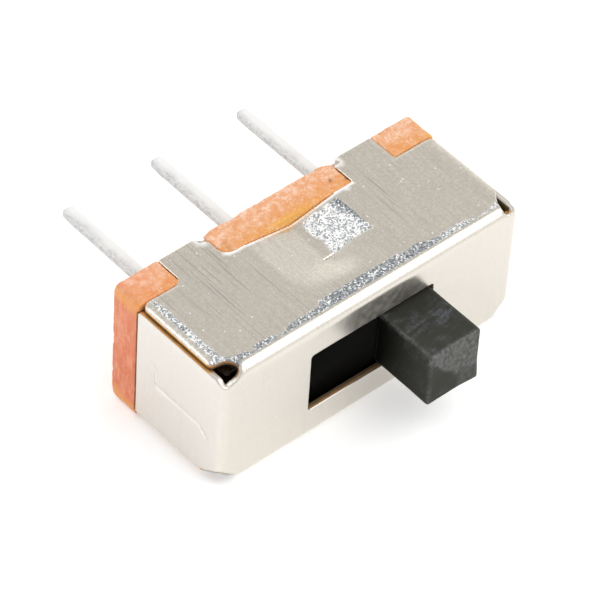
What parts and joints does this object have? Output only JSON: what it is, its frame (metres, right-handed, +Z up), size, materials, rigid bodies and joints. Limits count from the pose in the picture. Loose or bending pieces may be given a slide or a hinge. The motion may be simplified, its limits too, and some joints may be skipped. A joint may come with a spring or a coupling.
{
  "type": "slide switch",
  "caption": "Miniature slide switch: folded metal cover, sliding black lever in a slot, and flat pins through a terminal board.",
  "frame": {"origin": "centre of the terminal board's outer face, where the middle terminal comes out", "axes": "+Y out of the board's outer face, along the terminals; -Y towards the lever; X along the lever's travel and the row of terminals; +Z up, across the switch's width, with the switch lying on a long side"},
  "size_m": [0.0086, 0.0089, 0.0034],
  "materials": {
    "nickel_sheet": "bright nickel plate with fine grain and brown sheared edges",
    "board_laminate": "punched paper laminate, fibrous at its edges",
    "black_plastic": "moulded, satin",
    "contact_bronze": "spring strip",
    "tinned_strip": "dull tin plate"
  },
  "bodies": {
    "housing": {"cover": "nickel_sheet", "board": "board_laminate", "terminal_left": "tinned_strip", "terminal_middle": "tinned_strip", "terminal_right": "tinned_strip"},
    "lever": {"slider": "black_plastic", "moving_contact": "contact_bronze"}
  },
  "joints": [
    {"name": "lever_slide", "type": "slide", "parent": "housing", "child": "lever", "axis": [1, 0, 0], "range_m": [-0.002, 0]}
  ]
}
